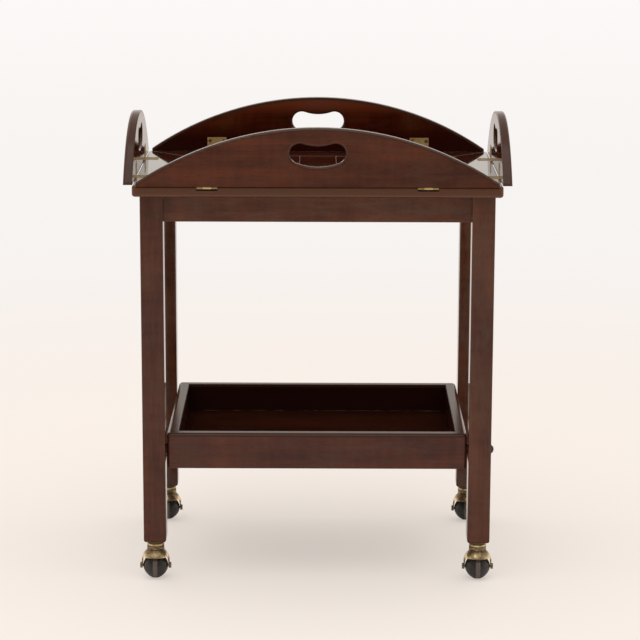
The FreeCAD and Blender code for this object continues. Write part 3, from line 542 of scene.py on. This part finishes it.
# Darker brass for the tray plates and pins: painted shade on the outer knuckles beside the leaf plates'
# bright middle knuckle.
SHADED_KNUCKLE_PALE = (0.52, 0.36, 0.165)
SHADED_KNUCKLE_BROWN = (0.24, 0.150, 0.062)
SCREW_PALE = (0.34, 0.25, 0.125)
SCREW_BROWN = (0.13, 0.090, 0.045)
TARNISH_SCALE = 90.0
BRUSH_LINES = (260.0, 2600.0, 2600.0)


def hinge_brass(name, shift, pale, brown):
    """Brushed brass: fine lines, a little tarnish in soft patches."""
    material, place, shader = new_finish(name)
    tarnish = place.noise(TARNISH_SCALE, shift, detail=4.0)
    line = place.noise(BRUSH_LINES, shift, detail=1.0)
    bump = line.bump(strength=0.12, distance=0.0001)
    colour = (tarnish * 0.8 + line * 0.2).ramp((0.3, brown), (0.68, pale))
    shader.inputs["Metallic"].default_value = 0.65
    feed(shader, Base_Color=colour, Roughness=0.36 + tarnish * 0.2, Normal=bump)
    return material


# The tray plates and pins take the darker brass as painted shade.
knuckles = hinge_brass("tray_plate_brass", (0.1, 0.2, 0.3), SHADED_KNUCKLE_PALE, SHADED_KNUCKLE_BROWN)
dress(knuckles, "tray_plates", "hinge_pins")
dress(hinge_brass("screw_brass", (0.6, 0.1, 0.2), SCREW_PALE, SCREW_BROWN), "tray_plate_screws")
for turn, side in enumerate(SIDES):
    plates = hinge_brass("leaf_plate_brass_" + side, (turn * 0.3, 0.5, 0.1), PLATE_PALE, PLATE_BROWN)
    dress(plates, "leaf_plates_" + side)
    heads = hinge_brass("leaf_screw_brass_" + side, (turn * 0.2, 0.1, 0.6), SCREW_PALE, SCREW_BROWN)
    dress(heads, "leaf_screws_" + side)

# The leaves: four bowed mahogany boards with a kidney-shaped hand hole, their arrises rounded over. Each
# hangs on two hinges, stands upright round the tray and folds down level with it. The faces of the long
# leaves that look at the tray have painted light under the rim and painted shade towards the hinges.

LEAF_TONES = ((0.048, 0.0080, 0.0027), (0.079, 0.0154, 0.0052), (0.116, 0.0243, 0.0085))
# The back leaf's tones are darker and redder than the other leaves': painted shade from the front leaf.
SHADED_BACK_LEAF_TONES = ((0.042, 0.0050, 0.0013), (0.076, 0.0118, 0.0034), (0.120, 0.0215, 0.0064))
LEAF_RISE = 0.0924
LEAF_ROUND = 0.0045
RIM_BEFORE = 0.0006
RIM_PAST = 0.0012
HOLE_REACH = 0.0292
HOLE_RISE = 0.0544
HOLE_BEND = 0.0051
HOLE_RADIUS = 0.0170
HOLE_ROUND = 0.0040
MOUTH_SHARE = 0.7


def leaf_edge(side):
    """The rounded rim of a leaf's bow and the mouth of its hand hole.

    The rim is where the distance from the bow's centre nears its radius. The mouth is where the distance
    from the hole's bent middle line falls below the hole's radius and rounding."""
    low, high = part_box("leaf_" + side)
    half = high.x if GRAIN_OF_SIDE[side] == "X" else high.y
    radius = (half * half + LEAF_RISE * LEAF_RISE) / (2.0 * LEAF_RISE)
    flat_radius = radius - LEAF_ROUND

    def share(place):
        run = place.part(GRAIN_OF_SIDE[side]).unsigned()
        rise = place.part("Z") - (high.z - radius)
        out = (run * run + rise * rise).root()
        rim = out.between(flat_radius - RIM_BEFORE, flat_radius + RIM_PAST)
        inner = run.least(HOLE_REACH) * (1.0 / HOLE_REACH)
        past = (run - HOLE_REACH).most(0.0)
        drop = place.part("Z") - (low.z + HOLE_RISE) + (1.0 - inner * inner) * HOLE_BEND
        off = (past * past + drop * drop).root()
        mouth = 1.0 - off.between(HOLE_RADIUS + HOLE_ROUND / 2, HOLE_RADIUS + HOLE_ROUND)
        return rim.most(mouth * MOUTH_SHARE)

    return share


# Painted light and shade on the inner faces of the long leaves: a warm band under the rim and a dark foot.
RIM_BAND_PAINTED_LIGHT = (0.175, 0.0350, 0.0112)
CROWN_DEPTH = 0.010
CROWN_END = 0.036
FOOT_PAINTED_SHADE = (0.030, 0.0021, 0.0006)
FOOT_START = 0.040
FOOT_DEPTH = 0.078
FACE_SKIN = 0.0020


def inner_face(side, depth_share):
    """A share by depth below the top of a long leaf, only on the face that looks at the tray."""
    low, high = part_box("leaf_" + side)
    nearest = min(abs(low.y), abs(high.y))

    def share(place):
        past = place.part("Y").unsigned() - nearest
        return (1.0 - past.between(FACE_SKIN / 2, FACE_SKIN)) * depth_share(high.z - place.part("Z"))

    return share


def crown(below_top):
    """The band under the rim, which carries painted light."""
    return 1.0 - below_top.between(CROWN_DEPTH, CROWN_END)


def foot(below_top):
    """The foot of the face, which carries painted shade towards the hinges."""
    return below_top.between(FOOT_START, FOOT_DEPTH)


for turn, side in enumerate(SIDES):
    grain = GRAIN_OF_SIDE[side]
    touches = ((leaf_edge(side), EDGE_TONE),)
    if grain == "X":
        touches = ((inner_face(side, crown), RIM_BAND_PAINTED_LIGHT), (inner_face(side, foot), FOOT_PAINTED_SHADE), *touches)
    tones = SHADED_BACK_LEAF_TONES if side == "back" else LEAF_TONES
    flap = mahogany("leaf_" + side, grain, (turn * 4.7, 3.0 + turn, 0.8 + turn), tones, touches)
    dress(flap, "leaf_" + side)

# The studio floor: a wide pale sheet that the table stands on. The camera sees it fade to the horizon, and
# the polished wood mirrors it as it is up to its front edge, and as a dim room past that.

FLOOR_HALF = 14.0
FLOOR_COLOUR = (0.92, 0.868, 0.822)
# Near the table the floor is tinted warm: painted bounce light from the wood.
FLOOR_WARM_BOUNCE = (0.965, 0.880, 0.810)
FLOOR_FAR = (0.935, 0.900, 0.885)
FLOOR_DIM = (0.70, 0.62, 0.50)
HORIZON = (0.970, 0.940, 0.930)
SHADOW_REACH = 0.5
PAPER_REACH = 3.2
HORIZON_REACH = 12.0
PAPER_FRONT = -3.2
ROOM_FRONT = -4.6


def floor_mesh(name, half):
    """A flat square on the ground, half a side each way from the middle."""
    mesh = bpy.data.meshes.new(name)
    corners = [(-half, -half, 0.0), (half, -half, 0.0), (half, half, 0.0), (-half, half, 0.0)]
    mesh.from_pydata(corners, [], [(0, 1, 2, 3)])
    return mesh


floor = bpy.data.objects.new("floor", floor_mesh("floor", FLOOR_HALF))
bpy.context.scene.collection.objects.link(floor)
paper, spot, paper_shader = new_finish("pale_paper")
paper_shader.inputs["Base Color"].default_value = (*FLOOR_COLOUR, 1.0)
paper_shader.inputs["Roughness"].default_value = 0.9
paper_shader.inputs["Specular IOR Level"].default_value = 0.0
reach = spot.node("ShaderNodeVectorMath", {"operation": "LENGTH"}, {0: spot}, output="Value")
far = reach.between(SHADOW_REACH, PAPER_REACH)
lift = spot.node("ShaderNodeLightPath", {}, {}, output="Is Camera Ray") * (0.5 + far * 0.5)
tint = reach.between(PAPER_REACH, HORIZON_REACH).mix(far.mix(FLOOR_WARM_BOUNCE, FLOOR_FAR), HORIZON)
glow = spot.node("ShaderNodeEmission", {}, {"Color": tint})
sheet = Field(spot.tree, paper_shader.outputs[0])
lifted = spot.node("ShaderNodeMixShader", {}, {0: lift, 1: sheet, 2: glow})
dim = spot.node("ShaderNodeEmission", {}, {"Color": (*FLOOR_DIM, 1.0)})
mirrored = spot.node("ShaderNodeLightPath", {}, {}, output="Is Glossy Ray")
past_paper = mirrored * (1.0 - spot.part("Y").between(ROOM_FRONT, PAPER_FRONT))
room_floor = spot.node("ShaderNodeMixShader", {}, {0: past_paper, 1: lifted, 2: dim})
spot.tree.links.new(room_floor.socket, spot.tree.nodes["Material Output"].inputs["Surface"])
floor.data.materials.append(paper)

# The studio light: a white room that is dark behind the camera below the lamps, a soft lamp high in front
# and a wide one overhead. Polished wood mirrors walls that darken upwards.

ROOM_WHITE = (1.0, 0.97, 0.95)
ROOM_DARK = (0.16, 0.13, 0.105)
ROOM_MIRRORED = ((0.16, (1.0, 0.95, 0.88)), (0.30, (0.62, 0.56, 0.50)), (0.7, (0.36, 0.33, 0.30)))
DARK_FULL = -0.75
DARK_FROM = -0.15
LAMP_FOOT = 0.55
LAMP_TOP = 0.85
world = bpy.data.worlds.new("studio")
bpy.context.scene.world = world
world.use_nodes = True
sky = world.node_tree
toward = Field(sky, sky.nodes.new("ShaderNodeTexCoord").outputs["Generated"])
seen = toward.node("ShaderNodeLightPath", {}, {}, output="Is Camera Ray")
in_front = 1.0 - toward.part("Y").between(DARK_FULL, DARK_FROM)
below_lamp = 1.0 - toward.part("Z").between(LAMP_FOOT, LAMP_TOP)
mirrored = toward.node("ShaderNodeLightPath", {}, {}, output="Is Glossy Ray")
walls = mirrored.mix(ROOM_WHITE, toward.part("Z").ramp(*ROOM_MIRRORED))
lit = (in_front * below_lamp).mix(walls, ROOM_DARK)
sky.links.new(seen.mix(lit, HORIZON).socket, sky.nodes["Background"].inputs["Color"])


def softbox(name, place, aim, width, depth, power):
    """A rectangular lamp at a place, turned so that it shines at the aim."""
    light = bpy.data.lights.new(name, "AREA")
    light.shape = "RECTANGLE"
    light.size = width
    light.size_y = depth
    light.energy = power
    lamp = bpy.data.objects.new(name, light)
    beam = Vector(aim) - Vector(place)
    tilt = math.atan2(math.hypot(beam.x, beam.y), -beam.z)
    heading = math.atan2(beam.y, beam.x) - math.pi / 2
    turn = Matrix.Rotation(heading, 4, "Z") @ Matrix.Rotation(tilt, 4, "X")
    lamp.matrix_world = Matrix.Translation(place) @ turn
    bpy.context.scene.collection.objects.link(lamp)


softbox("key", place=(-0.6, -2.4, 2.9), aim=(0.0, 0.0, 0.5), width=2.4, depth=1.6, power=9.0)
softbox("overhead", place=(0.0, -0.7, 3.6), aim=(0.0, -0.6, 0.0), width=4.0, depth=3.0, power=30.0)

# The camera: a long lens in front of the table, a little above the tray and looking down on it, as in the
# photograph.

CAMERA_PLACE = (0.0045, -4.134, 1.304)
CAMERA_PITCH = math.radians(12.19)
CAMERA_ROLL = math.radians(0.18)
CAMERA_LENS = 136.6
CAMERA_SENSOR = 36.0
CAMERA_SIGHT = 60.0
view = bpy.data.cameras.new("camera")
view.lens = CAMERA_LENS
view.sensor_width = CAMERA_SENSOR
view.clip_end = CAMERA_SIGHT
camera = bpy.data.objects.new("camera", view)
camera.matrix_world = (
    Matrix.Translation(CAMERA_PLACE)
    @ Matrix.Rotation(math.pi / 2 - CAMERA_PITCH, 4, "X")
    @ Matrix.Rotation(CAMERA_ROLL, 4, "Z")
)
bpy.context.scene.collection.objects.link(camera)
bpy.context.scene.camera = camera
bpy.context.scene.view_settings.view_transform = "Standard"
